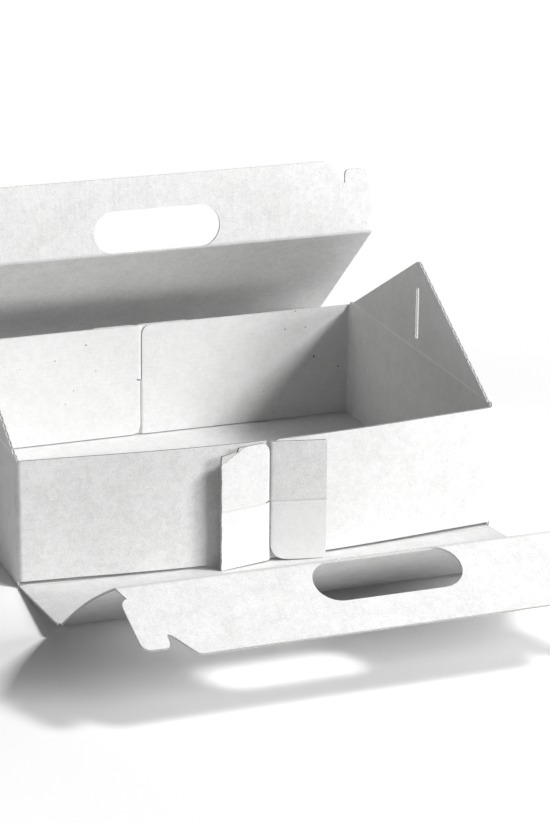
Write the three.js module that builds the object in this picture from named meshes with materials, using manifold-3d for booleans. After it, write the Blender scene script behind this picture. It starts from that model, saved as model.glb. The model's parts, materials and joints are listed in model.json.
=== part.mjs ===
// Carry box of white micro-flute board, standing open: a tray whose four side tabs are
// interlocked in pairs, two small gable flaps, and a front and a back lid that each fold
// at a wall flap, a roof flap and a handle flap. The whole box is one die-cut sheet.
// Millimetres, +Z up. X runs along the box, the front is -Y, and the origin is the
// centre of the tray's underside.
import * as THREE from 'three';
import { mergeVertices } from 'three/addons/utils/BufferGeometryUtils.js';
import Module from 'manifold-3d';

const wasm = await Module();
wasm.setup();

// The board and the clearances between neighbouring panels
const BOARD = 1.5;
const CLEARANCE = 0.3;
const FOLD_GAP = 0.35;
const HALF_BOARD = BOARD / 2;
const EDGE_OF_PARENT = HALF_BOARD + FOLD_GAP;

// The tray
const TRAY_LENGTH = 300;
const FOLD_SPAN = 238.4;
const TAB_FLOOR_GAP = 1.5;
const CORNER_RADIUS = 1.6;
const TONGUE_LENGTH = 33;
const TAB_SLIT_WIDTH = 1.5;
const TAB_SLIT_MOUTH = 6;
const TAB_SLIT_TICK = 3;
const TAB_SLIT_TICK_DROP = 1.2;
const TAB_CORNER_RADIUS = 1;
const RAMP_HALF = 2.2;

// The gable flaps on the two end walls
const GABLE_FOLD_RISE = 0.6;
const GABLE_HEIGHT = 58;
const GABLE_SETBACK = 6.3;
const GABLE_TIP_RADIUS = 3.5;
const GABLE_CLOSED_LEAN = 30;
const GABLE_SLIT_WIDTH = 4.4;
const CORNER_NOTCH = 1.2;
const CORNER_NOTCH_DEPTH = 2.5;
const CORNER_LOBE_RADIUS = 1;

// The lid flaps, measured from fold to fold
const WALL_FLAP_HEIGHT = 78.4;
const HANDLE_HEIGHT = 49;
const HANDLE_SPACING = 1.9;
const FLAP_END_GAP = 0.4;
const ROOF_CLEARANCE = 0.4;
const FLAP_CORNER_RADIUS = 2;

// The hand slot in each handle flap
const SLOT_LENGTH = 85;
const SLOT_HEIGHT = 28;

// The finger at each end of a handle flap, which goes through the slit in the gable flap.
// Heights are above the handle fold and insets are from the end of the flap.
const FINGER_START = 8;
const FINGER_END = 42.5;
const FINGER_HEEL_INSET = 4.2;
const FINGER_STEP_INSET = 1.6;
const FINGER_STEP_RISE = 1.3;
const FINGER_EDGE_INSET = 0.4;
const FINGER_EDGE_RISE = 4;
const FINGER_TIP_INSET = 3.4;
const FINGER_TIP_RADIUS = 5.2;
const FINGER_ROOT_INSET = 18.3;
const HOOK_BOTTOM = 33.6;
const HOOK_WIDTH = 2.6;
const FINGER_CLEARANCE = 0.65;
const SHOULDER_RISE = 1.6;
const SHOULDER_RUN = 11;
const SHOULDER_RADIUS = 2;

// How far each fold stands open: degrees from its own parent panel, as it lies in the photo
const FRONT_WALL_ANGLE = 5.7;
const FRONT_ROOF_ANGLE = 25.3;
const FRONT_HANDLE_ANGLE = -60.2;
const BACK_WALL_ANGLE = 51.3;
const BACK_ROOF_ANGLE = 88.1;
const BACK_HANDLE_ANGLE = -54;

// Places that follow from the sizes above
const halfLength = TRAY_LENGTH / 2;
const endWallMiddle = halfLength - HALF_BOARD;
const foldY = FOLD_SPAN / 2;
const tongueMiddle = foldY - BOARD - CLEARANCE;
const tabMiddle = tongueMiddle - BOARD - CLEARANCE;
const tabFace = tabMiddle + HALF_BOARD;
const tabBottom = BOARD + TAB_FLOOR_GAP;
const tabTop = WALL_FLAP_HEIGHT - ROOF_CLEARANCE;
const tabHalfHeight = (tabBottom + tabTop) / 2;
const floorEdge = foldY - EDGE_OF_PARENT;
const closedRoofMiddle = HALF_BOARD + WALL_FLAP_HEIGHT;
const gableFoldHeight = closedRoofMiddle + HALF_BOARD + GABLE_FOLD_RISE;
const endWallTop = gableFoldHeight - EDGE_OF_PARENT;
const gableHalf = tabFace - GABLE_SETBACK;
const wallHalf = halfLength - FLAP_END_GAP;
const roofHalf = endWallMiddle - HALF_BOARD - CLEARANCE;
const roofDepth = (FOLD_SPAN - HANDLE_SPACING) / 2;
const circleSteps = 12;

// The closed gable leans in, so that the fingers go through its slit and their hooks hold
// its upper end. These are the two ends of that slit, measured up the gable from its fold.
const lean = THREE.MathUtils.degToRad(GABLE_CLOSED_LEAN);
const fingerHeel = closedRoofMiddle + FINGER_START - gableFoldHeight;
const fingerRootDepth = endWallMiddle - roofHalf + FINGER_ROOT_INSET;
const gableSlitStart = fingerHeel / Math.cos(lean) - FINGER_CLEARANCE / Math.sin(2 * lean);
const gableSlitEnd = (fingerRootDepth + HALF_BOARD * Math.cos(lean) + FINGER_CLEARANCE) / Math.sin(lean);

// Plain shape and solid helpers

function arc(centerX, centerY, radius, fromDegrees, toDegrees, steps = 6) {
  const points = [];
  for (let i = 0; i <= steps; i += 1) {
    const angle = THREE.MathUtils.degToRad(fromDegrees + ((toDegrees - fromDegrees) * i) / steps);
    points.push(new THREE.Vector2(centerX + radius * Math.cos(angle), centerY + radius * Math.sin(angle)));
  }
  return points;
}

// An outline of [x, y, cornerRadius] points; a corner with a radius becomes a smooth curve.
function outline(corners) {
  const shape = new THREE.Path();
  const count = corners.length;
  const point = (i) => new THREE.Vector2(corners[(i + count) % count][0], corners[(i + count) % count][1]);
  for (let i = 0; i < count; i += 1) {
    const here = point(i);
    const reach = corners[i][2] ?? 0;
    const toBefore = point(i - 1).sub(here);
    const toAfter = point(i + 1).sub(here);
    const enter = here.clone().add(toBefore.setLength(Math.min(reach, toBefore.length() / 2)));
    const leave = here.clone().add(toAfter.setLength(Math.min(reach, toAfter.length() / 2)));
    if (i === 0) shape.moveTo(enter.x, enter.y);
    else shape.lineTo(enter.x, enter.y);
    if (reach > 0) shape.quadraticCurveTo(here.x, here.y, leave.x, leave.y);
  }
  shape.closePath();
  return new THREE.Shape(shape.getPoints(6));
}

// A strip of board seen edge-on: the path is its middle line, widened to both sides.
function strip(path) {
  const side = (sign) => path.map((here, i) => {
    const before = path[Math.max(i - 1, 0)];
    const after = path[Math.min(i + 1, path.length - 1)];
    const into = here.clone().sub(before).normalize();
    const out = after.clone().sub(here).normalize();
    if (i === 0) into.copy(out);
    if (i === path.length - 1) out.copy(into);
    const normal = new THREE.Vector2(-into.y - out.y, into.x + out.x).normalize();
    const miter = HALF_BOARD / Math.max(normal.dot(new THREE.Vector2(-into.y, into.x)), 0.5);
    return here.clone().addScaledVector(normal, sign * miter);
  });
  return new THREE.Shape([...side(1), ...side(-1).reverse()]);
}

function toSolid(geometry) {
  geometry.deleteAttribute('normal');
  geometry.deleteAttribute('uv');
  const merged = mergeVertices(geometry, 1e-4);
  return new wasm.Manifold(new wasm.Mesh({
    numProp: 3,
    vertProperties: new Float32Array(merged.attributes.position.array),
    triVerts: new Uint32Array(merged.index.array),
  }));
}

function toGeometry(solid) {
  const mesh = solid.getMesh();
  const geometry = new THREE.BufferGeometry();
  geometry.setAttribute('position', new THREE.BufferAttribute(new Float32Array(mesh.vertProperties), 3));
  geometry.setIndex(new THREE.BufferAttribute(new Uint32Array(mesh.triVerts), 1));
  geometry.computeVertexNormals();
  return geometry;
}

function extruded(shape, depth) {
  return new THREE.ExtrudeGeometry(shape, { depth, bevelEnabled: false, curveSegments: circleSteps });
}

// Each shape is drawn in the two axes that its name leaves out.
const alongZ = (shape, from, to) => toSolid(extruded(shape, to - from).translate(0, 0, from));
const alongY = (shape, from, to) => toSolid(extruded(shape, to - from).rotateX(Math.PI / 2).translate(0, to, 0));
const alongX = (shape, from, to) => toSolid(
  extruded(shape, to - from).rotateX(Math.PI / 2).rotateZ(Math.PI / 2).translate(from, 0, 0),
);

const rectangle = (x0, y0, x1, y1, radius = 0) => outline([
  [x0, y0, radius], [x1, y0, radius], [x1, y1, radius], [x0, y1, radius],
]);

// A flat panel in the XY plane, centred on its thickness.
const sheet = (shape) => alongZ(shape, -HALF_BOARD, HALF_BOARD);

// The rounded edge of a panel that turns about the X axis, its fold.
const foldEdge = (half) => alongX(new THREE.Shape(arc(0, 0, HALF_BOARD, 0, 360, 16).slice(0, -1)), -half, half);

// The tray

// Floor and end walls as one U, with the folds at the two lower edges.
function floorAndEndWalls() {
  const bend = CORNER_RADIUS - HALF_BOARD;
  const path = [
    new THREE.Vector2(-endWallMiddle, endWallTop),
    ...arc(-endWallMiddle + bend, HALF_BOARD + bend, bend, 180, 270),
    ...arc(endWallMiddle - bend, HALF_BOARD + bend, bend, 270, 360),
    new THREE.Vector2(endWallMiddle, endWallTop),
  ];
  const wallEdge = tabMiddle - bend;
  const lobe = gableHalf + CORNER_NOTCH;
  const half = [
    [wallEdge, 0], [wallEdge, tabTop, CORNER_LOBE_RADIUS],
    [lobe + CORNER_LOBE_RADIUS, endWallTop, CORNER_LOBE_RADIUS], [lobe, endWallTop, CORNER_LOBE_RADIUS / 2],
    [lobe, endWallTop - CORNER_NOTCH_DEPTH], [gableHalf, endWallTop - CORNER_NOTCH_DEPTH],
    [gableHalf, endWallTop],
  ];
  const mirrored = half.map(([y, z, radius]) => [-y, z, radius]).reverse();
  const endOutline = alongX(outline([...half, ...mirrored]), -halfLength - 1, halfLength + 1);
  const uShape = alongY(strip(path), -wallEdge - 1, wallEdge + 1).intersect(endOutline);
  const floorHalf = halfLength - CORNER_RADIUS;
  return uShape.add(alongZ(rectangle(-floorHalf, -floorEdge, floorHalf, floorEdge), 0, BOARD));
}

// One side tab. side is -1 at the front and 1 at the back, end is -1 at the left and 1 at the
// right. It bends off its end wall, runs inside the other tab's tongue, and past the slit in
// the middle its own tongue lies outside.
function sideTab(side, end) {
  const bend = CORNER_RADIUS - HALF_BOARD;
  const cornerX = endWallMiddle - bend;
  const path = [
    new THREE.Vector2(endWallMiddle, tabMiddle - bend - BOARD),
    ...arc(cornerX, tabMiddle - bend, bend, 0, 90),
    new THREE.Vector2(RAMP_HALF, tabMiddle),
    new THREE.Vector2(-RAMP_HALF, tongueMiddle),
    new THREE.Vector2(-TONGUE_LENGTH, tongueMiddle),
  ].map((point) => new THREE.Vector2(point.x * end, point.y * side));
  const face = outline([
    [halfLength * end, tabBottom], [halfLength * end, tabTop],
    [-TONGUE_LENGTH * end, tabTop, TAB_CORNER_RADIUS], [-TONGUE_LENGTH * end, tabBottom, TAB_CORNER_RADIUS],
  ]);
  const board = alongZ(strip(path), tabBottom, tabTop).intersect(alongY(face, -foldY, foldY));
  return board.subtract(tabSlit(end));
}

// The right tab is slit from above and the left one from below, both to half height, with a
// flared mouth and a short tick at the inner end.
function tabSlit(end) {
  const halfWidth = TAB_SLIT_WIDTH / 2;
  const rimZ = end > 0 ? tabTop : tabBottom;
  const outsideZ = rimZ + end * BOARD;
  const flareZ = rimZ - end * 2 * TAB_SLIT_MOUTH;
  const innerZ = tabHalfHeight;
  const tickX = -halfWidth - TAB_SLIT_TICK;
  const tickZ = innerZ - end * TAB_SLIT_TICK_DROP;
  const flareX = halfWidth + 2 * TAB_SLIT_MOUTH;
  const shape = outline([
    [flareX, outsideZ], [flareX, rimZ], [halfWidth, rimZ, TAB_SLIT_MOUTH], [halfWidth, flareZ],
    [halfWidth, innerZ], [tickX, tickZ], [tickX, tickZ + end * TAB_SLIT_WIDTH],
    [-halfWidth, innerZ + end * TAB_SLIT_WIDTH], [-halfWidth, flareZ],
    [-halfWidth, rimZ, TAB_SLIT_MOUTH], [-flareX, rimZ], [-flareX, outsideZ],
  ]);
  return alongY(shape, -foldY, foldY);
}

function tray() {
  let solid = floorAndEndWalls();
  for (const side of [-1, 1]) {
    for (const end of [-1, 1]) solid = solid.add(sideTab(side, end));
  }
  return solid;
}

// The flaps, each drawn flat with its fold along the X axis and its far edge at +Y

function wallFlap() {
  const far = WALL_FLAP_HEIGHT - EDGE_OF_PARENT;
  const shape = outline([
    [-wallHalf, 0], [wallHalf, 0],
    [wallHalf, far, FLAP_CORNER_RADIUS], [-wallHalf, far, FLAP_CORNER_RADIUS],
  ]);
  return sheet(shape).add(foldEdge(wallHalf));
}

function roofFlap() {
  return sheet(rectangle(-roofHalf, 0, roofHalf, roofDepth - EDGE_OF_PARENT)).add(foldEdge(roofHalf));
}

// Corners of the right-hand half of a handle flap, from its fold round the finger, the hook
// beside it and the sloping shoulder to the top edge.
function handleEnd() {
  const inset = (amount) => roofHalf - amount;
  const root = inset(FINGER_ROOT_INSET);
  const shoulder = root - HOOK_WIDTH;
  return [
    [roofHalf, 0],
    [inset(FINGER_HEEL_INSET), FINGER_START, 0.4],
    [inset(FINGER_STEP_INSET), FINGER_START + FINGER_STEP_RISE, 1.2],
    [inset(FINGER_EDGE_INSET), FINGER_START + FINGER_EDGE_RISE, 2],
    [inset(FINGER_TIP_INSET), FINGER_END, FINGER_TIP_RADIUS],
    [root, FINGER_END, FINGER_TIP_RADIUS / 1.5],
    [root, HOOK_BOTTOM, 1.2],
    [shoulder, HOOK_BOTTOM + SHOULDER_RISE, 0.5],
    [shoulder - SHOULDER_RUN, HANDLE_HEIGHT, SHOULDER_RADIUS],
  ];
}

function handleFlap() {
  const right = handleEnd();
  const left = right.map(([x, y, radius]) => [-x, y, radius]).reverse();
  const slotStart = -HALF_BOARD - CLEARANCE;
  const slotEnd = (SLOT_HEIGHT - slotStart) / 2;
  const stadium = new THREE.Shape([
    ...arc(SLOT_LENGTH / 2 - slotEnd, slotStart + slotEnd, slotEnd, -90, 90, circleSteps),
    ...arc(slotEnd - SLOT_LENGTH / 2, slotStart + slotEnd, slotEnd, 90, 270, circleSteps),
  ]);
  const cut = alongZ(stadium, -BOARD, BOARD);
  return sheet(outline([...right, ...left])).add(foldEdge(roofHalf)).subtract(cut);
}

function gableFlap() {
  const slitHalf = GABLE_SLIT_WIDTH / 2;
  const triangle = outline([
    [-gableHalf, 0, 0.8], [gableHalf, 0, 0.8], [0, GABLE_HEIGHT + GABLE_TIP_RADIUS / 4, GABLE_TIP_RADIUS],
  ]);
  const slit = rectangle(-slitHalf, gableSlitStart, slitHalf, gableSlitEnd, HALF_BOARD);
  const base = foldEdge(gableHalf - BOARD);
  return sheet(triangle).add(base).subtract(alongZ(slit, -BOARD, BOARD));
}

// The finish, and the assembly

const WHITE_BOARD = { color: 0xf1f1ef, roughness: 0.85, metalness: 0 };

function piece(name, solid) {
  const mesh = new THREE.Mesh(toGeometry(solid), new THREE.MeshStandardMaterial(WHITE_BOARD));
  mesh.name = name;
  return mesh;
}

// A lid is a chain of three folds. side is -1 at the front and 1 at the back, and the angles
// turn each panel up from the one before it.
function lid(side, prefix, wallAngle, roofAngle, handleAngle) {
  const turn = (degrees) => THREE.MathUtils.degToRad(side > 0 ? degrees : -degrees);
  const handle = new THREE.Group();
  handle.position.set(0, roofDepth, 0);
  handle.rotation.x = turn(handleAngle);
  handle.add(piece(`${prefix}_handle_flap`, handleFlap()));
  const roof = new THREE.Group();
  roof.position.set(0, WALL_FLAP_HEIGHT, 0);
  roof.rotation.x = turn(roofAngle);
  roof.add(piece(`${prefix}_roof_flap`, roofFlap()), handle);
  const wall = new THREE.Group();
  wall.position.set(0, side * foldY, HALF_BOARD);
  wall.rotation.x = side > 0 ? turn(wallAngle) : Math.PI + turn(wallAngle);
  wall.add(piece(`${prefix}_wall_flap`, wallFlap()), roof);
  return wall;
}

// A gable flap stands upright on its end wall: drawn in XY, turned to face along X.
function gable(end, name) {
  const group = new THREE.Group();
  group.position.set(end * endWallMiddle, 0, gableFoldHeight);
  group.rotation.set(Math.PI / 2, 0, Math.PI / 2, 'ZYX');
  group.add(piece(name, gableFlap()));
  return group;
}

const carryBox = new THREE.Group();
carryBox.add(
  piece('tray', tray()),
  lid(-1, 'front', FRONT_WALL_ANGLE, FRONT_ROOF_ANGLE, FRONT_HANDLE_ANGLE),
  lid(1, 'back', BACK_WALL_ANGLE, BACK_ROOF_ANGLE, BACK_HANDLE_ANGLE),
  gable(-1, 'left_gable_flap'),
  gable(1, 'right_gable_flap'),
);

export default carryBox;
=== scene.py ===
"""Carry box of white micro-flute board, standing open. Sizes are in metres unless a name says otherwise."""
import json
import math

import bpy
import numpy as np
from mathutils import Matrix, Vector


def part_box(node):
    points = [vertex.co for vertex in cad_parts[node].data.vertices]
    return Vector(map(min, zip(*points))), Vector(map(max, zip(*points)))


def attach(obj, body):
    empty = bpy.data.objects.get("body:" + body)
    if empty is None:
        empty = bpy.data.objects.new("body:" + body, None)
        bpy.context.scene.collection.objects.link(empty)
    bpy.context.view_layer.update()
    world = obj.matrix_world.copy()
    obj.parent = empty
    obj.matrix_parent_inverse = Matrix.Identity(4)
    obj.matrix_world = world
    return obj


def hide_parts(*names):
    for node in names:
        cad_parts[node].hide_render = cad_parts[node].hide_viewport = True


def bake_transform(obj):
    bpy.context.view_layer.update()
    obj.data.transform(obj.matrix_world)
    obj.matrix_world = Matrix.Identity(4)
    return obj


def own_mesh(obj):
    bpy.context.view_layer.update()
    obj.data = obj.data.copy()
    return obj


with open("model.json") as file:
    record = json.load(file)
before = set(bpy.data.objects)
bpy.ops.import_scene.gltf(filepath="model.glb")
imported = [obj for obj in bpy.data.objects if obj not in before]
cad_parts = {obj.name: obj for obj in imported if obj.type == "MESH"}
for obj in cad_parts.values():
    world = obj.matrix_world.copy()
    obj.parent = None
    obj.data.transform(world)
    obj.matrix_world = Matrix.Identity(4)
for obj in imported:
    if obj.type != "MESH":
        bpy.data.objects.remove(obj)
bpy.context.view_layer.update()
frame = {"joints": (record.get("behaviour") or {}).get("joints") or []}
MM = 0.001

# The camera stands to the left of the box and looks down on it, at the photograph's angle.
# Its focal length is in pixels of the 550 by 825 frame, and its angles are in radians.
FOCAL_PX = 2906.95
FRAME_HEIGHT_PX = 825
SENSOR_MM = 36
CAMERA_YAW = 0.3600
CAMERA_PITCH = 0.3266
CAMERA_ROLL = 0.0089
CAMERA_PLACE = (-0.56370, -1.63573, 0.64032)

camera_data = bpy.data.cameras.new("camera")
camera_data.sensor_width = SENSOR_MM
camera_data.lens = FOCAL_PX / FRAME_HEIGHT_PX * SENSOR_MM
camera_data.clip_start = 0.05
camera_data.clip_end = 50
camera = bpy.data.objects.new("camera", camera_data)
bpy.context.collection.objects.link(camera)
forward = np.array([
    math.sin(CAMERA_YAW) * math.cos(CAMERA_PITCH),
    math.cos(CAMERA_YAW) * math.cos(CAMERA_PITCH),
    -math.sin(CAMERA_PITCH),
])
level_right = np.array([math.cos(CAMERA_YAW), -math.sin(CAMERA_YAW), 0])
level_up = np.cross(level_right, forward)
right = math.cos(CAMERA_ROLL) * level_right + math.sin(CAMERA_ROLL) * level_up
up = -math.sin(CAMERA_ROLL) * level_right + math.cos(CAMERA_ROLL) * level_up
turn = Matrix([right, up, -forward]).transposed()
camera.matrix_world = Matrix.Translation(CAMERA_PLACE) @ turn.to_4x4()
bpy.context.scene.camera = camera

# The tray is the middle of the sheet: the floor and the two end walls, one strip of board
# that bends up at both ends. The board is two white liners with a fluted ply between them,
# 1.5 mm thick, and the flutes run from front to back.
BOARD = 1.5 * MM
FLUTE_PITCH = 3.2 * MM
BEND_RADIUS = 1.2 * MM
SEAM = 2.5 * MM
CUT_RECESS = 0.12 * MM
LINER = 0.22 * MM
COARSE_STEP = 6.0 * MM
EDGE_STEP = 0.8 * MM
MARGIN_STEP = 0.6 * MM
BEND_STEP = 0.4 * MM
CORNER_POINTS = 8
ARC_POINTS = 17
SHARP_BEND = 0.3
SHADING_ANGLE = 40
HALF_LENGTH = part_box("tray")[1][0] - BOARD / 2
joints = {joint["name"]: joint for joint in frame["joints"]}
FOLD_Y = joints["back_wall_fold"]["pos_m"][1]
GABLE_FOLD_Z = joints["right_gable_fold"]["pos_m"][2]
GABLE_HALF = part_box("right_gable_flap")[1][1]
TAB_INSET = 3.6 * MM
TAB_MIDDLE = FOLD_Y - TAB_INSET
TAB_BOTTOM = 3.8 * MM
TAB_TOP = 78 * MM


def lines(*stretches):
    """Grid lines: each stretch is (from, to, step), spaced evenly, and shared ends are kept once."""
    parts = [np.linspace(a, b, max(2, int(round((b - a) / step)) + 1)) for a, b, step in stretches]
    return np.unique(np.round(np.concatenate(parts), 7))


def rounded(corners):
    """A closed outline of (x, y, reach) corners. A corner with a reach becomes the curve
    (1-t)^2 P + 2t(1-t) C + t^2 Q, from a point P that far before it to a point Q after it."""
    points = []
    t = np.linspace(0, 1, CORNER_POINTS)[:, None]
    for i, (x, y, *reach) in enumerate(corners):
        here = np.array([x, y])
        before = np.array(corners[i - 1][:2]) - here
        after = np.array(corners[(i + 1) % len(corners)][:2]) - here
        if not reach or not reach[0]:
            points.append(here[None])
            continue
        p = here + before * min(reach[0] / np.hypot(*before), 0.5)
        q = here + after * min(reach[0] / np.hypot(*after), 0.5)
        points.append((1 - t) ** 2 * p + 2 * t * (1 - t) * here + t ** 2 * q)
    return np.concatenate(points)


def along(curve, distance):
    """Carries a section along a flat curve: a point at (distance, offset) lies on the curve at
    that distance, moved by the offset along the curve's left normal."""
    tangent = np.gradient(curve, distance, axis=0)
    tangent /= np.linalg.norm(tangent, axis=1)[:, None]
    normal = np.stack([-tangent[:, 1], tangent[:, 0]], 1)

    def place(s, n):
        """The curve's point at distance s, plus n times its normal there."""
        middle = [np.interp(s, distance, curve[:, k]) for k in (0, 1)]
        lean = [np.interp(s, distance, normal[:, k]) for k in (0, 1)]
        return middle[0] + n * lean[0], middle[1] + n * lean[1]

    return place


def bent(corners, start):
    """A straight-sided path whose corners are arcs of BEND_RADIUS. Distance is measured along the
    sharp path from the value start at its first point, so folds stay where they were scored.
    A point just before and just after each arc keeps the straight stretches straight."""
    radius, beside = BEND_RADIUS, 1.001
    corners = np.array(corners, float)
    points, distance = [corners[0]], [start]
    run = start
    for before, here, after in zip(corners[:-2], corners[1:-1], corners[2:]):
        run += np.hypot(*(here - before))
        into = (here - before) / np.hypot(*(here - before))
        out = (after - here) / np.hypot(*(after - here))
        angle = math.atan2(into[0] * out[1] - into[1] * out[0], float(into @ out))
        reach = radius * math.tan(abs(angle) / 2)
        side = math.copysign(1, angle)
        centre = here - into * reach + side * radius * np.array([-into[1], into[0]])
        f = np.linspace(0, 1, ARC_POINTS)
        heading = math.atan2(into[1], into[0]) + angle * f
        arc = centre + side * radius * np.stack([np.sin(heading), -np.cos(heading)], 1)
        points += [here - into * reach * beside, *arc, here + out * reach * beside]
        distance += [run - reach * beside, *(run - reach + 2 * reach * f), run + reach * beside]
    points.append(corners[-1])
    distance.append(run + np.hypot(*(corners[-1] - corners[-2])))
    return along(np.array(points), np.array(distance))


def nearest(points, loops):
    """For each point: the closest point on the closed loops, how far it is, and whether the
    point lies inside, counted by the loop sides that a ray along +X crosses."""
    best = np.full(len(points), np.inf)
    foot = points.copy()
    crossings = np.zeros(len(points), int)
    for loop in loops:
        for p, q in zip(loop, np.roll(loop, -1, 0)):
            d = q - p
            t = np.clip(((points - p) @ d) / max(float(d @ d), 1e-18), 0, 1)
            near = p + t[:, None] * d
            gap = np.hypot(*(points - near).T)
            closer = gap < best
            best[closer] = gap[closer]
            foot[closer] = near[closer]
            spans = (p[1] > points[:, 1]) != (q[1] > points[:, 1])
            if d[1]:
                spans &= points[:, 0] < p[0] + (points[:, 1] - p[1]) / d[1] * d[0]
                crossings += spans
    return foot, best, crossings % 2 == 1


def sheet_cells(a_lines, b_lines, loops):
    """The cells of a grid of (a, b) that lie inside the loops, as points and quads. Grid points
    less than half a cell from a loop move onto it first."""
    a, b = np.meshgrid(a_lines, b_lines, indexing="ij")
    flat = np.stack([a.ravel(), b.ravel()], 1)
    step_a = np.minimum(np.diff(a_lines, prepend=-1), np.diff(a_lines, append=1))
    step_b = np.minimum(np.diff(b_lines, prepend=-1), np.diff(b_lines, append=1))
    cell = np.minimum(step_a[:, None], step_b[None, :]).ravel()
    foot, gap, inside = nearest(flat, loops)
    on = gap < 0.5 * cell
    flat[on] = foot[on]
    index = np.arange(a.size).reshape(a.shape)
    quads = np.stack([index[:-1, :-1], index[1:, :-1], index[1:, 1:], index[:-1, 1:]], -1).reshape(-1, 4)
    quads = quads[(inside | on)[quads].all(1)]
    quads = quads[nearest(flat[quads].mean(1), loops)[2]]
    used, quads = np.unique(quads, return_inverse=True)
    return flat[used], quads.reshape(-1, 4)


def sheet_rim(flat, quads, loops):
    """The rim is every cell side that no second cell shares. Gives the rim's points, its sides as
    pairs of them, and each point's outward direction, the mean of its two sides' normals. The
    points move onto the loops, and the one nearest to a sharp corner moves into it."""
    sides = np.stack([quads, np.roll(quads, -1, 1)], -1).reshape(-1, 2)
    key = np.sort(sides, 1) @ np.array([len(flat), 1])
    _, first, times = np.unique(key, return_index=True, return_counts=True)
    rim = sides[first[times == 1]]
    outward = np.zeros((len(flat), 2))
    d = flat[rim[:, 1]] - flat[rim[:, 0]]
    d = np.stack([d[:, 1], -d[:, 0]], 1) / np.maximum(np.hypot(*d.T), 1e-9)[:, None]
    np.add.at(outward, rim[:, 0], d)
    np.add.at(outward, rim[:, 1], d)
    outward /= np.maximum(np.hypot(*outward.T), 1e-9)[:, None]
    edge, rim = np.unique(rim, return_inverse=True)
    flat[edge] = nearest(flat[edge], loops)[0]
    for loop in loops:
        into = loop - np.roll(loop, 1, 0)
        out = np.roll(loop, -1, 0) - loop
        bend = np.abs(into[:, 0] * out[:, 1] - into[:, 1] * out[:, 0])
        for corner in loop[bend > SHARP_BEND * np.hypot(*into.T) * np.hypot(*out.T)]:
            gap = np.hypot(*(flat[edge] - corner).T)
            if gap.min() < SEAM:
                flat[edge[gap.argmin()]] = corner
    return edge, rim.reshape(-1, 2), outward[edge]


def board(name, a_lines, b_lines, place, loops, across, crease):
    """A sheet of board over a grid of (a, b). Two liners lie at +half and -half of the thickness
    n, and the cut edge between them steps back to the fluted ply. place gives (x, y, z) from
    (a, b, n), across says which of a and b crosses the flutes, and crease gives the distance
    past the fold from (a, b)."""
    flat, quads = sheet_cells(a_lines, b_lines, loops)
    edge, rim, outward = sheet_rim(flat, quads, loops)
    count = len(flat)
    half = BOARD / 2
    inner = half - LINER
    rows = [(half, 0, 0), (inner, 0, 0), (inner, CUT_RECESS, 1)]
    rows += [(-n, back, is_cut) for n, back, is_cut in rows[::-1]]
    points = [flat, flat]
    offset = [np.full(count, half), np.full(count, -half)]
    cut = [np.zeros(2 * count)]
    faces = [quads, quads[:, ::-1] + count]
    upper = edge[rim]
    for k, (n, back, is_cut) in enumerate(rows[1:-1]):
        points.append(flat[edge] - outward * back)
        offset.append(np.full(len(edge), n))
        cut.append(np.full(len(edge), is_cut))
        lower = 2 * count + k * len(edge) + rim
        faces.append(np.stack([upper[:, 1], upper[:, 0], lower[:, 0], lower[:, 1]], 1))
        upper = lower
    lower = count + edge[rim]
    faces.append(np.stack([upper[:, 1], upper[:, 0], lower[:, 0], lower[:, 1]], 1))
    points = np.concatenate(points)
    offset = np.concatenate(offset)
    cut = np.concatenate(cut)
    solid = np.stack(place(points[:, 0], points[:, 1], offset), 1)
    mesh = bpy.data.meshes.new(name)
    mesh.from_pydata(solid.tolist(), [], np.concatenate(faces).tolist())
    own = np.stack([points[:, across], points[:, 1 - across], offset], 1)
    fold = crease(points[:, 0], points[:, 1])
    mesh.attributes.new("board", "FLOAT_VECTOR", "POINT").data.foreach_set("vector", own.astype("f").ravel())
    mesh.attributes.new("cut", "FLOAT", "POINT").data.foreach_set("value", cut.astype("f"))
    mesh.attributes.new("fold_gap", "FLOAT", "POINT").data.foreach_set("value", fold.astype("f"))
    mesh.shade_smooth()
    mesh.set_sharp_from_angle(angle=math.radians(SHADING_ANGLE))
    mesh.validate()
    piece = bpy.data.objects.new(name, mesh)
    bpy.context.collection.objects.link(piece)
    return piece


class Socket:
    """A node's output, so that shader maths reads as plain expressions. One without an output
    only adds nodes to its tree."""

    def __init__(self, tree, output):
        self.tree = tree
        self.output = output

    def node(self, kind, settings=None, inputs=None, out=0):
        """Adds any node: its settings first, then values or links for its sockets."""
        made = self.tree.nodes.new(kind)
        for name, value in (settings or {}).items():
            setattr(made, name, value)
        for name, value in (inputs or {}).items():
            if isinstance(value, Socket):
                self.tree.links.new(value.output, made.inputs[name])
            else:
                made.inputs[name].default_value = value
        return Socket(self.tree, made.outputs[out])

    def math(self, operation, *values):
        """Any Math node. Without values it takes this socket alone."""
        return self.node("ShaderNodeMath", {"operation": operation}, dict(enumerate(values or (self,))))

    def __add__(self, other):
        return self.math("ADD", self, other)

    def __radd__(self, other):
        return self.math("ADD", other, self)

    def __sub__(self, other):
        return self.math("SUBTRACT", self, other)

    def __rsub__(self, other):
        return self.math("SUBTRACT", other, self)

    def __mul__(self, other):
        return self.math("MULTIPLY", self, other)

    def __rmul__(self, other):
        return self.math("MULTIPLY", other, self)

    def ramp(self, low, high):
        """0 below low, 1 above high and a smooth step between."""
        settings = {"interpolation_type": "SMOOTHSTEP"}
        return self.node("ShaderNodeMapRange", settings, {0: self, 1: low, 2: high})

    def mix(self, first, second):
        """Colour first where this value is 0 and second where it is 1."""
        settings = {"data_type": "RGBA"}
        return self.node("ShaderNodeMix", settings, {0: self, 6: first, 7: second}, 2)


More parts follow.
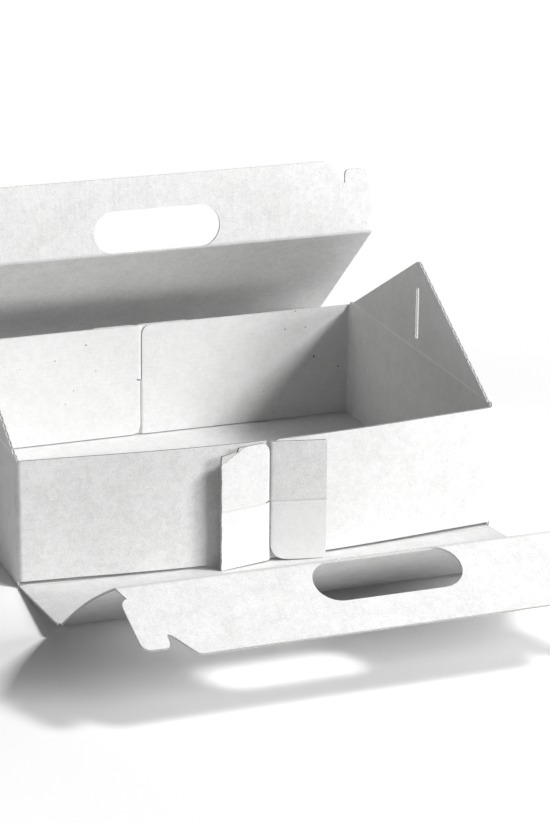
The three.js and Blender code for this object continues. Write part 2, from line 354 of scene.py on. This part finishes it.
WHITE = (0.79, 0.79, 0.787, 1)
FLECK = (0.53, 0.53, 0.527, 1)
SPECK = (0.16, 0.15, 0.14, 1)
PLY = (0.66, 0.655, 0.645, 1)
# Painted shade for the hollow spaces of the fluted ply
PLY_HOLLOW_SHADE = (0.13, 0.128, 0.125, 1)
TORN_PLY = (0.50, 0.495, 0.485, 1)
# Painted shade along the folds, then a painted highlight for the gables' fold
CREASE_SHADE = (0.50, 0.50, 0.495, 1)
PAINTED_CREASE_HIGHLIGHT = (0.95, 0.95, 0.945, 1)


def white_board(
    name, mottle, relief, crease, crease_colour=CREASE_SHADE, specks=0.0, hollow_shade=1.0, mottle_cut_before_fold=0.0, torn=None,
):
    """White-lined board: a sine washboard from the flutes, stronger in patches, as bump and as stripes
    of painted shade in the colour, fibre mottle in four sizes, stray specks, a line at the fold in
    crease_colour, painted shade unless a painted highlight is given, and on cut edges the fluted ply
    as a sine with painted shade in the hollow spaces on both sides of it. The numbers are strengths
    from 0 to 1, and one of them sets how much of the mottle is missing before the fold, which leaves
    the board lighter there. torn is (along the sheet, up, slope): outside that line the outer liner
    is torn off and the ply shows, with a dark line along its edge."""
    material = bpy.data.materials.new(name)
    material.use_nodes = True
    tree = material.node_tree
    shader = tree.nodes["Principled BSDF"]
    start = Socket(tree, None)
    here = start.node("ShaderNodeTexCoord", out=3)
    own = start.node("ShaderNodeAttribute", {"attribute_name": "board"}, out=1)
    cut = start.node("ShaderNodeAttribute", {"attribute_name": "cut"}, out=2)
    fold = start.node("ShaderNodeAttribute", {"attribute_name": "fold_gap"}, out=2)
    across = own.node("ShaderNodeSeparateXYZ", inputs={0: own})
    flute_run = Socket(tree, across.output.node.outputs[1])
    depth = Socket(tree, across.output.node.outputs[2])
    wave = (across * (2 * math.pi / FLUTE_PITCH)).math("SINE")

    def noise(scale, detail=2.0, roughness=0.6):
        """Fractal noise from 0 to 1 over the piece's own coordinates, with scale cells per metre."""
        inputs = {"Vector": here, "Scale": scale, "Detail": detail, "Roughness": roughness}
        return here.node("ShaderNodeTexNoise", None, inputs)

    # Grain of 0.7 mm, clouds of 4 mm, blotches of 11 mm and a broad shade of 36 mm
    grain = noise(1500, 1.0).ramp(0.38, 0.66)
    cloud = noise(260, 3.0).ramp(0.42, 0.62)
    blotch = noise(95, 2.0).ramp(0.44, 0.62)
    broad = noise(28, 3.0).ramp(0.35, 0.70)
    spot = noise(330, 0.0).ramp(0.845, 0.86)
    line = 1 - fold.math("ABSOLUTE").ramp(0.25 * MM, 1.1 * MM)
    # Before the fold the mottle is partly left out, so the board is lighter there
    kept = 1 - (1 - fold.ramp(-0.2 * MM, 0.2 * MM)) * mottle_cut_before_fold
    fleck = (grain * 0.52 + cloud * 0.22 + blotch * 0.16 + broad * 0.20) * mottle * kept
    washboard = wave * (noise(14).ramp(0.35, 0.65) * 0.7 + 0.3) * relief
    # The washboard also goes into the colour, as stripes of painted shade on its ripples
    fleck = fleck + (washboard * 0.5 + 0.5) * 0.08
    colour = fleck.mix(WHITE, FLECK)
    # The fold line: painted shade in the crease, which the gables paint as a highlight instead
    colour = (line * crease).mix(colour, crease_colour)
    if specks:
        colour = (spot * specks).mix(colour, SPECK)
    if torn:
        along_sheet, up_sheet, slope = torn
        beyond = (flute_run - along_sheet) * slope + (across - up_sheet)
        beyond = beyond + (noise(420, 3.0) - 0.5) * (3.0 * MM)
        bare = beyond.ramp(-0.15 * MM, 0.15 * MM)
        # A dark line along the tear's edge, in the colour of the ply's painted hollow shade
        ridge = 1 - (beyond.math("ABSOLUTE")).ramp(0.05 * MM, 0.5 * MM)
        colour = (bare * 0.75).mix(colour, TORN_PLY)
        colour = (ridge * 0.45).mix(colour, PLY_HOLLOW_SHADE)
    # Painted shade in the hollow spaces on both sides of the ply's sine, on cut edges
    hollow = (depth - wave * (BOARD * 0.30)).math("ABSOLUTE").ramp(BOARD * 0.10, BOARD * 0.24)
    colour = cut.mix(colour, (hollow * hollow_shade).mix(PLY, PLY_HOLLOW_SHADE))
    tree.links.new(colour.output, shader.inputs["Base Color"])
    rough = 0.80 + grain * 0.12
    tree.links.new(rough.output, shader.inputs["Roughness"])
    shader.inputs["Specular IOR Level"].default_value = 0.25
    height = washboard * 0.10 + noise(1400) * 0.12 + noise(220) * 0.20 + noise(45) * 0.35 - line * 0.5
    bump = height.node("ShaderNodeBump", None, {"Height": height, "Strength": 0.45, "Distance": 0.0006})
    tree.links.new(bump.output, shader.inputs["Normal"])
    return material


def finish_piece(piece, material, node):
    """Gives a piece its material and slot, and hides the CAD node that it stands for."""
    piece.data.materials.append(material)
    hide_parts(node)


tray_finish = white_board("white_liner_tray", mottle=0.5, relief=0.35, crease=0.2)
WALL_TOP = GABLE_FOLD_Z - SEAM
LOBE_GAP = 0.2 * MM
LOBE_TOP = GABLE_FOLD_Z - LOBE_GAP
END_EDGE = TAB_MIDDLE - SEAM
FLOOR_EDGE = FOLD_Y - SEAM
CORNER_RELIEF = 4 * MM
WALL_CORNER_RUN = 1.2 * MM
half_path = HALF_LENGTH + WALL_TOP - BOARD / 2
lobe_path = half_path + LOBE_TOP - WALL_TOP
tray_path = bent([
    (-HALF_LENGTH, LOBE_TOP), (-HALF_LENGTH, BOARD / 2), (HALF_LENGTH, BOARD / 2), (HALF_LENGTH, LOBE_TOP),
], -lobe_path)


def place_tray(p, y, n):
    """The strip's section runs along X and up the two ends, and is the same at every y."""
    x, z = tray_path(p, n)
    return x, y, z


tray_half = [
    (HALF_LENGTH - CORNER_RELIEF, FLOOR_EDGE), (HALF_LENGTH - CORNER_RELIEF, TAB_MIDDLE),
    (HALF_LENGTH + TAB_BOTTOM, TAB_MIDDLE), (HALF_LENGTH + TAB_BOTTOM, END_EDGE), (lobe_path, END_EDGE),
    (lobe_path, GABLE_HALF + WALL_CORNER_RUN), (half_path, GABLE_HALF),
]
tray_loop = tray_half + [(a, -b) for a, b in tray_half[::-1]]
tray_loop += [(-a, -b) for a, b in tray_half] + [(-a, b) for a, b in tray_half[::-1]]
fold_from, fold_to = HALF_LENGTH - CORNER_RELIEF, HALF_LENGTH + TAB_BOTTOM
tray_p = lines(
    (-lobe_path, -half_path, EDGE_STEP), (-half_path, -fold_to, COARSE_STEP),
    (-fold_to, -fold_from, BEND_STEP), (-fold_from, fold_from, COARSE_STEP),
    (fold_from, fold_to, BEND_STEP), (fold_to, half_path, COARSE_STEP), (half_path, lobe_path, EDGE_STEP),
)
tray_y = lines(
    (-FLOOR_EDGE, -GABLE_HALF, MARGIN_STEP), (-GABLE_HALF, GABLE_HALF, COARSE_STEP),
    (GABLE_HALF, FLOOR_EDGE, MARGIN_STEP),
)
tray = board(
    "tray_floor_and_end_walls", tray_p, tray_y, place_tray, [np.array(tray_loop)], across=0,
    crease=lambda p, y: np.abs(p) - HALF_LENGTH,
)
finish_piece(tray, tray_finish, "tray")
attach(tray, "tray")

# The side tabs bend off the end walls and lock in pairs at slits of half their height: the
# right tab is slit from above and the left one from below. Past its slit each tongue lies
# outside the other tab. The front pair is not pressed flat, so it bows forward.
TONGUE = 33 * MM
TIP_CORNER = 1.5 * MM
SLIT_HALF = 0.9 * MM
SLIT_MOUTH = 7 * MM
SLIT_MIDDLE = 40.5 * MM
LOW_TONGUE_CORNER = 10.5 * MM
TICK = 2.2 * MM
TICK_DROP = 0.5 * MM
TICK_RISE = 0.4 * MM
TICK_LIP = 0.9 * MM
FRONT_BOW = 13.5 * MM
BACK_BOW = 0.9 * MM
FRONT_LIFT = 7.5 * MM
BACK_LIFT = 0
FRONT_STEP = 1.25 * MM
BACK_STEP = 0.9 * MM
CROSSING_REACH = 0.8 * MM
BACK_BOTTOM = 2.2 * MM
CORNER_ARC = 2.4 * MM
CORNER_ARC_POINTS = 10
TAB_CURVE_POINTS = 500
LOBE_FOOT = 0.9 * MM
LOBE_HEAD = 1.5 * MM
LOBE_CORNER = 0.5 * MM
TEAR_START = 21.5 * MM
TEAR_RUN = 0.6 * MM
TEAR_DROP = 2.3 * MM
TEAR_SLOPE = 0.52
FRAY = 0.22 * MM
FRAY_GAP = 1 * MM
FRAY_POINTS = 64
BEND_ZONE = 6 * MM
SLIT_ZONE = 9 * MM
CORNER_ZONE = 8 * MM
TICK_ZONE = 3 * MM
ARC_STEP = 0.5 * MM
TONGUE_STEP = 0.9 * MM
RISE_STEP = 1.4 * MM


def tab_curve(end, side, bow, lift, step):
    """The tab's middle line from above: a stretch of end wall, the corner's arc, then a bow that
    rises as sin(pi/2 of the way to the middle). At the slit it steps out past the other tab as
    tanh, and beyond it the tongue lifts away almost straight."""
    x = np.linspace(HALF_LENGTH - CORNER_ARC, -TONGUE, TAB_CURVE_POINTS)
    way = np.clip(1 - x / HALF_LENGTH, 0, 1)
    past = np.clip(-x / TONGUE, 0, 1)
    y = TAB_MIDDLE + bow * np.sin(np.pi / 2 * way) + lift * past ** 0.9
    y += step * np.tanh(-x / CROSSING_REACH) * np.clip(4 * way, 0, 1)
    f = np.linspace(0, np.pi / 2, CORNER_ARC_POINTS)[:-1]
    corner_x = HALF_LENGTH - CORNER_ARC + CORNER_ARC * np.cos(f)
    corner_y = y[0] - CORNER_ARC + CORNER_ARC * np.sin(f)
    xs = np.concatenate([[HALF_LENGTH], corner_x, x])
    ys = np.concatenate([[y[0] - CORNER_ARC - SEAM], corner_y, y])
    before = np.linspace(-CORNER_ARC, CORNER_ARC, CORNER_ARC_POINTS)[:-1]
    distance = np.concatenate([[-CORNER_ARC - SEAM], before, HALF_LENGTH - x])
    return along(np.stack([end * xs, side * ys], 1), distance)


def tab_outline(end, bottom, torn):
    """The tab in (distance from the corner, height). Its slit opens at the top of a right tab
    and at the bottom of a left one, between two rounded lips, and a short tick to the left
    ends it. A torn tab has a frayed tip, a sum of sines, and its upper corner is gone."""
    near, far, tip = HALF_LENGTH - SLIT_HALF, HALF_LENGTH + SLIT_HALF, HALF_LENGTH + TONGUE
    plain_side, tick_side = (near, far) if end > 0 else (far, near)
    tick = tick_side + end * TICK
    slit_end = [
        (plain_side, SLIT_MIDDLE), (tick, SLIT_MIDDLE - end * TICK_DROP),
        (tick, SLIT_MIDDLE + end * TICK_RISE), (tick_side, SLIT_MIDDLE + end * TICK_LIP),
    ][::end]
    open_edge, shut_edge = (TAB_TOP, bottom) if end > 0 else (bottom, TAB_TOP)
    tongue_corner = SLIT_MOUTH if end > 0 else LOW_TONGUE_CORNER
    slit = [(near, open_edge, SLIT_MOUTH), *slit_end, (far, open_edge, tongue_corner)]
    tip_corners = [(tip, open_edge, TIP_CORNER), (tip, shut_edge, TIP_CORNER)]
    if torn:
        z = np.linspace(TAB_TOP - TEAR_DROP - FRAY_GAP, bottom, FRAY_POINTS)
        fray = FRAY * (np.sin(z * 5200) + np.sin(z * 9100 + 1) * np.sin(z * 800))
        tear = HALF_LENGTH + TEAR_START
        tip_corners = [(tear, TAB_TOP), (tear + TEAR_RUN, TAB_TOP - TEAR_DROP), *zip(tip + fray, z)]
    lobe = [(-LOBE_FOOT, TAB_TOP), (-LOBE_HEAD, LOBE_TOP, LOBE_CORNER), (-SEAM, LOBE_TOP)]
    foot_edge = [(-SEAM, bottom)]
    if end > 0:
        return rounded([*lobe[::-1], *slit, *tip_corners, *foot_edge])
    return rounded([*foot_edge, *slit, *tip_corners, *lobe])


slit_from, slit_to = HALF_LENGTH - SLIT_ZONE, HALF_LENGTH + SLIT_ZONE
tab_s = lines(
    (-SEAM, BEND_ZONE, ARC_STEP), (BEND_ZONE, slit_from, COARSE_STEP), (slit_from, slit_to, ARC_STEP),
    (slit_to, HALF_LENGTH + TONGUE, TONGUE_STEP),
)
low_to, high_from = TAB_BOTTOM + CORNER_ZONE, TAB_TOP - CORNER_ZONE
tick_from, tick_to = SLIT_MIDDLE - TICK_ZONE, SLIT_MIDDLE + TICK_ZONE
tab_z = lines(
    (BACK_BOTTOM, TAB_BOTTOM, ARC_STEP), (TAB_BOTTOM, low_to, MARGIN_STEP), (low_to, tick_from, RISE_STEP),
    (tick_from, tick_to, BEND_STEP), (tick_to, high_from, RISE_STEP), (high_from, LOBE_TOP, MARGIN_STEP),
)


def side_tab(end, side, bow, lift, step, finish, torn=False):
    """One tab. end is 1 at the right and -1 at the left, side is 1 at the back and -1 in front.
    It is tab_curve from above, carried straight up, so z is the height itself."""
    curve = tab_curve(end, side, bow, lift, step)

    def place(s, z, n):
        """Positive n is the tab's outer side, whichever way its curve runs."""
        x, y = curve(s, -end * side * n)
        return x, y, z

    def crease(s, z):
        """The tongue's crease lies level with the end of the slit."""
        return np.where(s > HALF_LENGTH + SLIT_HALF, z - SLIT_MIDDLE, 1)

    name = f"{'back' if side > 0 else 'front'}_{'right' if end > 0 else 'left'}_tab"
    outline = tab_outline(end, TAB_BOTTOM if side < 0 else BACK_BOTTOM, torn)
    tab = board(name, tab_s, tab_z, place, [outline], across=1, crease=crease)
    finish_piece(tab, finish, "tray")
    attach(tab, "tray")
    return tab


torn_edge = (HALF_LENGTH + TEAR_START, TAB_TOP - TEAR_DROP, TEAR_SLOPE)
front_right_finish = white_board(
    "white_liner_front_right", mottle=0.56, relief=0.25, crease=0.22, mottle_cut_before_fold=0.5, torn=torn_edge,
)
front_left_finish = white_board("white_liner_front_left", mottle=0.70, relief=0.25, crease=0.22, mottle_cut_before_fold=0.5)
back_finish = white_board("white_liner_back_tabs", mottle=0.42, relief=0.45, crease=0.0, specks=1.0)
front_tabs = [
    side_tab(1, -1, FRONT_BOW, FRONT_LIFT, FRONT_STEP, front_right_finish, torn=True),
    side_tab(-1, -1, FRONT_BOW, FRONT_LIFT, FRONT_STEP, front_left_finish),
]
pressed_to = (0, -TAB_MIDDLE + BOARD / 2, 0)
for tab in front_tabs:
    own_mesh(tab)
for end in (-1, 1):
    side_tab(end, 1, BACK_BOW, BACK_LIFT, BACK_STEP, back_finish)

# Each lid is three panels of the same sheet on scored folds: a wall flap off the tray's floor,
# a roof flap, and a handle flap with a hand slot. They stay where they are put, and the front
# roof flap has kept a slight bow. A panel is drawn with the fold that it turns on.
WALL_LENGTH = 78.4 * MM
ROOF_LENGTH = 118.25 * MM
HANDLE_LENGTH = 49 * MM
ROOF_BOW = {"front": -2.4 * MM, "back": 0}
FOLD_REACH = 1.2 * MM
LID_CREASE = 0.4 * MM
FLAP_CORNER = 0.5 * MM
WALL_HALF = 149.6 * MM
ROOF_HALF = 148.2 * MM
# Degrees above +Y of the tray's floor, the wall flap, the roof flap and the handle flap
ANGLES = {
    "front": (180, 180 - 5.7, 180 - 31.0, 180 + 29.2),
    "back": (0, 51.3, 139.4, 85.4),
}


def fold_place(axis, before, after, length, bow):
    """A panel and its fold: two straight runs that meet at the fold's axis, joined by an arc.
    Angles are degrees above +Y, and distance is 0 at the axis. The panel bows off its straight
    line by bow times sin(pi times the way along it). Both runs reach past the panel's edges."""
    a, b = math.radians(before), math.radians(after)
    run_in, run_out = 3 * SEAM, 2 * length
    start = (axis[0] - run_in * math.cos(a), axis[1] - run_in * math.sin(a))
    far = (axis[0] + run_out * math.cos(b), axis[1] + run_out * math.sin(b))
    path = bent([start, axis, far], -run_in)

    def place(x, s, n):
        """The same section at every x: the path at distance s, moved off it by n and the bow."""
        y, z = path(s, n + bow * np.sin(np.pi * np.clip(s / length, 0, 1)))
        return x, y, z

    return place


def blend_ends(axis, before, after):
    """The points on the two panels, just off the fold, between which the board turns."""
    a, b = math.radians(before), math.radians(after)
    start = (0, axis[0] - FOLD_REACH * math.cos(a), axis[1] - FOLD_REACH * math.sin(a))
    end = (0, axis[0] + FOLD_REACH * math.cos(b), axis[1] + FOLD_REACH * math.sin(b))
    return start, end


def panel(name, body, axis, angles, length, outline, x_lines, s_lines, holes=(), bow=0):
    """One flap with its fold, which follows the parent panel before the fold and the flap after it.
    Angles are those of the parent and the flap."""
    before, after = angles
    place = fold_place(axis, before, after, length, bow)
    loops = [outline, *holes]
    piece = board(name, x_lines, s_lines, place, loops, across=0, crease=lambda x, s: s - LID_CREASE)
    finish_piece(piece, lid_finish, body)
    start, end = blend_ends(axis, before, after)
    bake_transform(piece)


def plain_flap(half, length):
    """A rectangle from just before the fold to the length, with two rounded corners."""
    free = [(half, length, FLAP_CORNER), (-half, length, FLAP_CORNER)]
    return rounded([(-half, -SEAM), (half, -SEAM), *free])


FINGER = [
    (0.0, 0.0, 0), (4.2, 8.0, 0.4), (1.6, 9.3, 1.2), (0.4, 12.0, 2.0), (3.4, 42.5, 5.2),
    (18.3, 42.5, 3.4), (18.3, 33.6, 1.2), (20.9, 35.2, 0.5), (31.9, 49.0, 2.0),
]
SLOT_HALF = 42.5 * MM
SLOT_HEIGHT = 28 * MM
ROUND_END_POINTS = 25
FINGER_ZONE = 112 * MM
SLOT_ZONE = 46 * MM
SLOT_MIDDLE_ZONE = 24 * MM
HANDLE_STEP = 3 * MM
FOLD_STEP = 0.25 * MM


def handle_outline():
    """The handle flap: its fold, then at each end the finger, the hook beside it and the sloping
    shoulder up to the top edge. FINGER holds each corner's inset, rise and rounding in
    millimetres."""
    end = [(ROOF_HALF - inset * MM, rise * MM, reach * MM) for inset, rise, reach in FINGER]
    other = [(-x, y, reach) for x, y, reach in end[::-1]]
    return rounded([(ROOF_HALF, -SEAM), *end, *other, (-ROOF_HALF, -SEAM)])


def slot_outline():
    """The hand slot: a bar with round ends whose lower side lies on the fold."""
    r = SLOT_HEIGHT / 2
    f = np.linspace(-np.pi / 2, np.pi / 2, ROUND_END_POINTS)
    cap = np.stack([SLOT_HALF - r + r * np.cos(f), r + r * np.sin(f)], 1)
    return np.concatenate([cap, (cap * (-1, 1))[::-1]])


lid_finish = white_board("white_liner_lid", mottle=0.68, relief=0.5, crease=0.4, hollow_shade=0.35)
handle_x = lines(
    (-ROOF_HALF, -FINGER_ZONE, EDGE_STEP), (-FINGER_ZONE, -SLOT_ZONE, HANDLE_STEP),
    (-SLOT_ZONE, -SLOT_MIDDLE_ZONE, TONGUE_STEP), (-SLOT_MIDDLE_ZONE, SLOT_MIDDLE_ZONE, HANDLE_STEP),
    (SLOT_MIDDLE_ZONE, SLOT_ZONE, TONGUE_STEP), (SLOT_ZONE, FINGER_ZONE, HANDLE_STEP),
    (FINGER_ZONE, ROOF_HALF, EDGE_STEP),
)
fold_s = (-SEAM, SEAM, FOLD_STEP)
for side_name, (floor_angle, wall_angle, roof_angle, handle_angle) in ANGLES.items():
    wall_axis = joints[f"{side_name}_wall_fold"]["pos_m"][1:]
    roof_axis = joints[f"{side_name}_roof_fold"]["pos_m"][1:]
    handle_axis = joints[f"{side_name}_handle_fold"]["pos_m"][1:]
    wall, roof, handle = (f"{side_name}_{part}_flap" for part in ("wall", "roof", "handle"))
    panel(
        f"{wall}_board", wall, wall_axis, (floor_angle, wall_angle), WALL_LENGTH,
        plain_flap(WALL_HALF, WALL_LENGTH - SEAM), lines((-WALL_HALF, WALL_HALF, COARSE_STEP)),
        lines(fold_s, (SEAM, WALL_LENGTH - SEAM, COARSE_STEP)),
    )
    panel(
        f"{roof}_board", roof, roof_axis, (wall_angle, roof_angle), ROOF_LENGTH,
        plain_flap(ROOF_HALF, ROOF_LENGTH - SEAM), lines((-ROOF_HALF, ROOF_HALF, COARSE_STEP)),
        lines(fold_s, (SEAM, ROOF_LENGTH - SEAM, COARSE_STEP)), bow=ROOF_BOW[side_name],
    )
    panel(
        f"{handle}_board", handle, handle_axis, (roof_angle, handle_angle), HANDLE_LENGTH,
        handle_outline(), handle_x, lines(fold_s, (SEAM, HANDLE_LENGTH, EDGE_STEP)), [slot_outline()],
    )

# The gable flaps are triangles of the same sheet that stand up from the end walls on a scored
# fold, each with a slit that takes the fingers of both handle flaps when the box is shut.
GABLE_HEIGHT = 58 * MM
GABLE_TIP_RISE = 0.9 * MM
GABLE_TIP_REACH = 3.5 * MM
GABLE_FOOT_REACH = 0.8 * MM
SLIT_START = 6.9 * MM
SLIT_END = 41.3 * MM
GABLE_SLIT_HALF = 2.2 * MM
GABLE_SLIT_CORNER = 1 * MM
GABLE_SLIT_ZONE = 8 * MM
GABLE_STEP = 1.6 * MM
TIP_ZONE = 1 * MM
# The gables' fold line is a painted highlight, lighter than the board around it
gable_finish = white_board("white_liner_gable", mottle=0.45, relief=0.3, crease=0.45, crease_colour=PAINTED_CREASE_HIGHLIGHT)
gable_loop = rounded([
    (-GABLE_HALF, -SEAM), (GABLE_HALF, -SEAM), (GABLE_HALF, 0, GABLE_FOOT_REACH),
    (0, GABLE_HEIGHT + GABLE_TIP_RISE, GABLE_TIP_REACH), (-GABLE_HALF, 0, GABLE_FOOT_REACH),
])
gable_slit = rounded([
    (-GABLE_SLIT_HALF, SLIT_START, GABLE_SLIT_CORNER), (GABLE_SLIT_HALF, SLIT_START, GABLE_SLIT_CORNER),
    (GABLE_SLIT_HALF, SLIT_END, GABLE_SLIT_CORNER), (-GABLE_SLIT_HALF, SLIT_END, GABLE_SLIT_CORNER),
])
gable_y = lines(
    (-GABLE_HALF, -GABLE_SLIT_ZONE, GABLE_STEP), (-GABLE_SLIT_ZONE, GABLE_SLIT_ZONE, ARC_STEP),
    (GABLE_SLIT_ZONE, GABLE_HALF, GABLE_STEP),
)
gable_z = lines(fold_s, (SEAM, GABLE_HEIGHT + TIP_ZONE, EDGE_STEP))
for end, end_name in ((-1, "left"), (1, "right")):
    def place_gable(y, u, n, end=end):
        """A flat upright panel: n counts outwards, and y turns with the end so that faces do too."""
        return end * (HALF_LENGTH + n), y * end, GABLE_FOLD_Z + u

    gable = board(
        f"{end_name}_gable_board", gable_y, gable_z, place_gable, [gable_loop, gable_slit],
        across=1, crease=lambda y, u: u,
    )
    finish_piece(gable, gable_finish, f"{end_name}_gable_flap")
    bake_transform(gable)

# The studio: a pale floor that shows white to the camera but keeps the box's shadow, a soft
# key light from the right, a wider one beside it, a weak one from the left, and a dim even
# sky. A lamp is (azimuth, elevation, size, power), and azimuth runs from the front to the right.
FLOOR_HALF = 12
FLOOR_DROP = 0.0003
LAMP_DISTANCE = 2.8
KEY = (47, 45, 0.42, 68)
WINDOW = (31, 26, 0.75, 37)
FILL = (-86, 3, 0.5, 10)
SKY = 0.06
FLOOR_GLOW = 0.04
FADE_START = 0.16
FADE_END = 0.42
SHADOW_CENTRE = (0, -0.09, 0)
SHADOW_SHAPE = (0.8, 1, 1)


def floor_material():
    """Diffuse white that carries the box's bounce light. For the camera it glows a little, and
    from FADE_START to FADE_END around the box it turns into the plain white of the backdrop."""
    material = bpy.data.materials.new("studio_floor")
    material.use_nodes = True
    tree = material.node_tree
    shader = tree.nodes["Principled BSDF"]
    shader.inputs["Base Color"].default_value = (0.94, 0.94, 0.94, 1)
    shader.inputs["Roughness"].default_value = 1
    shader.inputs["Specular IOR Level"].default_value = 0
    start = Socket(tree, None)
    plain = Socket(tree, shader.outputs[0])
    glow = start.node("ShaderNodeEmission", None, {"Color": (1, 1, 1, 1), "Strength": FLOOR_GLOW})
    white = start.node("ShaderNodeEmission", None, {"Color": (1, 1, 1, 1), "Strength": 1})
    near = start.node("ShaderNodeAddShader", None, {0: plain, 1: glow})
    here = start.node("ShaderNodeTexCoord", out=3)
    centred = here.node("ShaderNodeVectorMath", {"operation": "SUBTRACT"}, {0: here, 1: SHADOW_CENTRE})
    squared = centred.node("ShaderNodeVectorMath", {"operation": "MULTIPLY"}, {0: centred, 1: SHADOW_SHAPE})
    away = squared.node("ShaderNodeVectorMath", {"operation": "LENGTH"}, {0: squared}, 1)
    shown = start.node("ShaderNodeMixShader", None, {0: away.ramp(FADE_START, FADE_END), 1: near, 2: white})
    is_camera = start.node("ShaderNodeLightPath")
    picked = start.node("ShaderNodeMixShader", None, {0: is_camera, 1: plain, 2: shown})
    tree.links.new(picked.output, tree.nodes["Material Output"].inputs["Surface"])
    return material


floor_mesh = bpy.data.meshes.new("studio_floor")
corner_signs = ((-1, -1), (1, -1), (1, 1), (-1, 1))
floor_corners = [(x * FLOOR_HALF, y * FLOOR_HALF, -FLOOR_DROP) for x, y in corner_signs]
floor_mesh.from_pydata(floor_corners, [], [(0, 1, 2, 3)])
floor_mesh.materials.append(floor_material())
floor = bpy.data.objects.new("studio_floor", floor_mesh)
bpy.context.collection.objects.link(floor)


def lamp(name, azimuth, elevation, size, power):
    """A square soft box that faces the origin from LAMP_DISTANCE away, in the direction of its
    azimuth and elevation."""
    a, e = math.radians(azimuth), math.radians(elevation)
    away = np.array([math.sin(a) * math.cos(e), -math.cos(a) * math.cos(e), math.sin(e)])
    across_way = np.array([math.cos(a), math.sin(a), 0])
    data = bpy.data.lights.new(name, "AREA")
    data.size = size
    data.energy = power
    made = bpy.data.objects.new(name, data)
    axes = Matrix([across_way, np.cross(away, across_way), away]).transposed()
    made.matrix_world = Matrix.Translation(away * LAMP_DISTANCE) @ axes.to_4x4()
    bpy.context.collection.objects.link(made)


lamp("key", *KEY)
lamp("window", *WINDOW)
lamp("fill", *FILL)

world = bpy.data.worlds.new("studio")
world.use_nodes = True
bpy.context.scene.world = world
sky_tree = world.node_tree
background = sky_tree.nodes["Background"]
background.inputs["Color"].default_value = (1, 1, 1, 1)
start = Socket(sky_tree, None)
seen = start.node("ShaderNodeLightPath")
strength = seen * (1 - SKY) + SKY
sky_tree.links.new(strength.output, background.inputs["Strength"])

bpy.context.scene.view_settings.view_transform = "Standard"
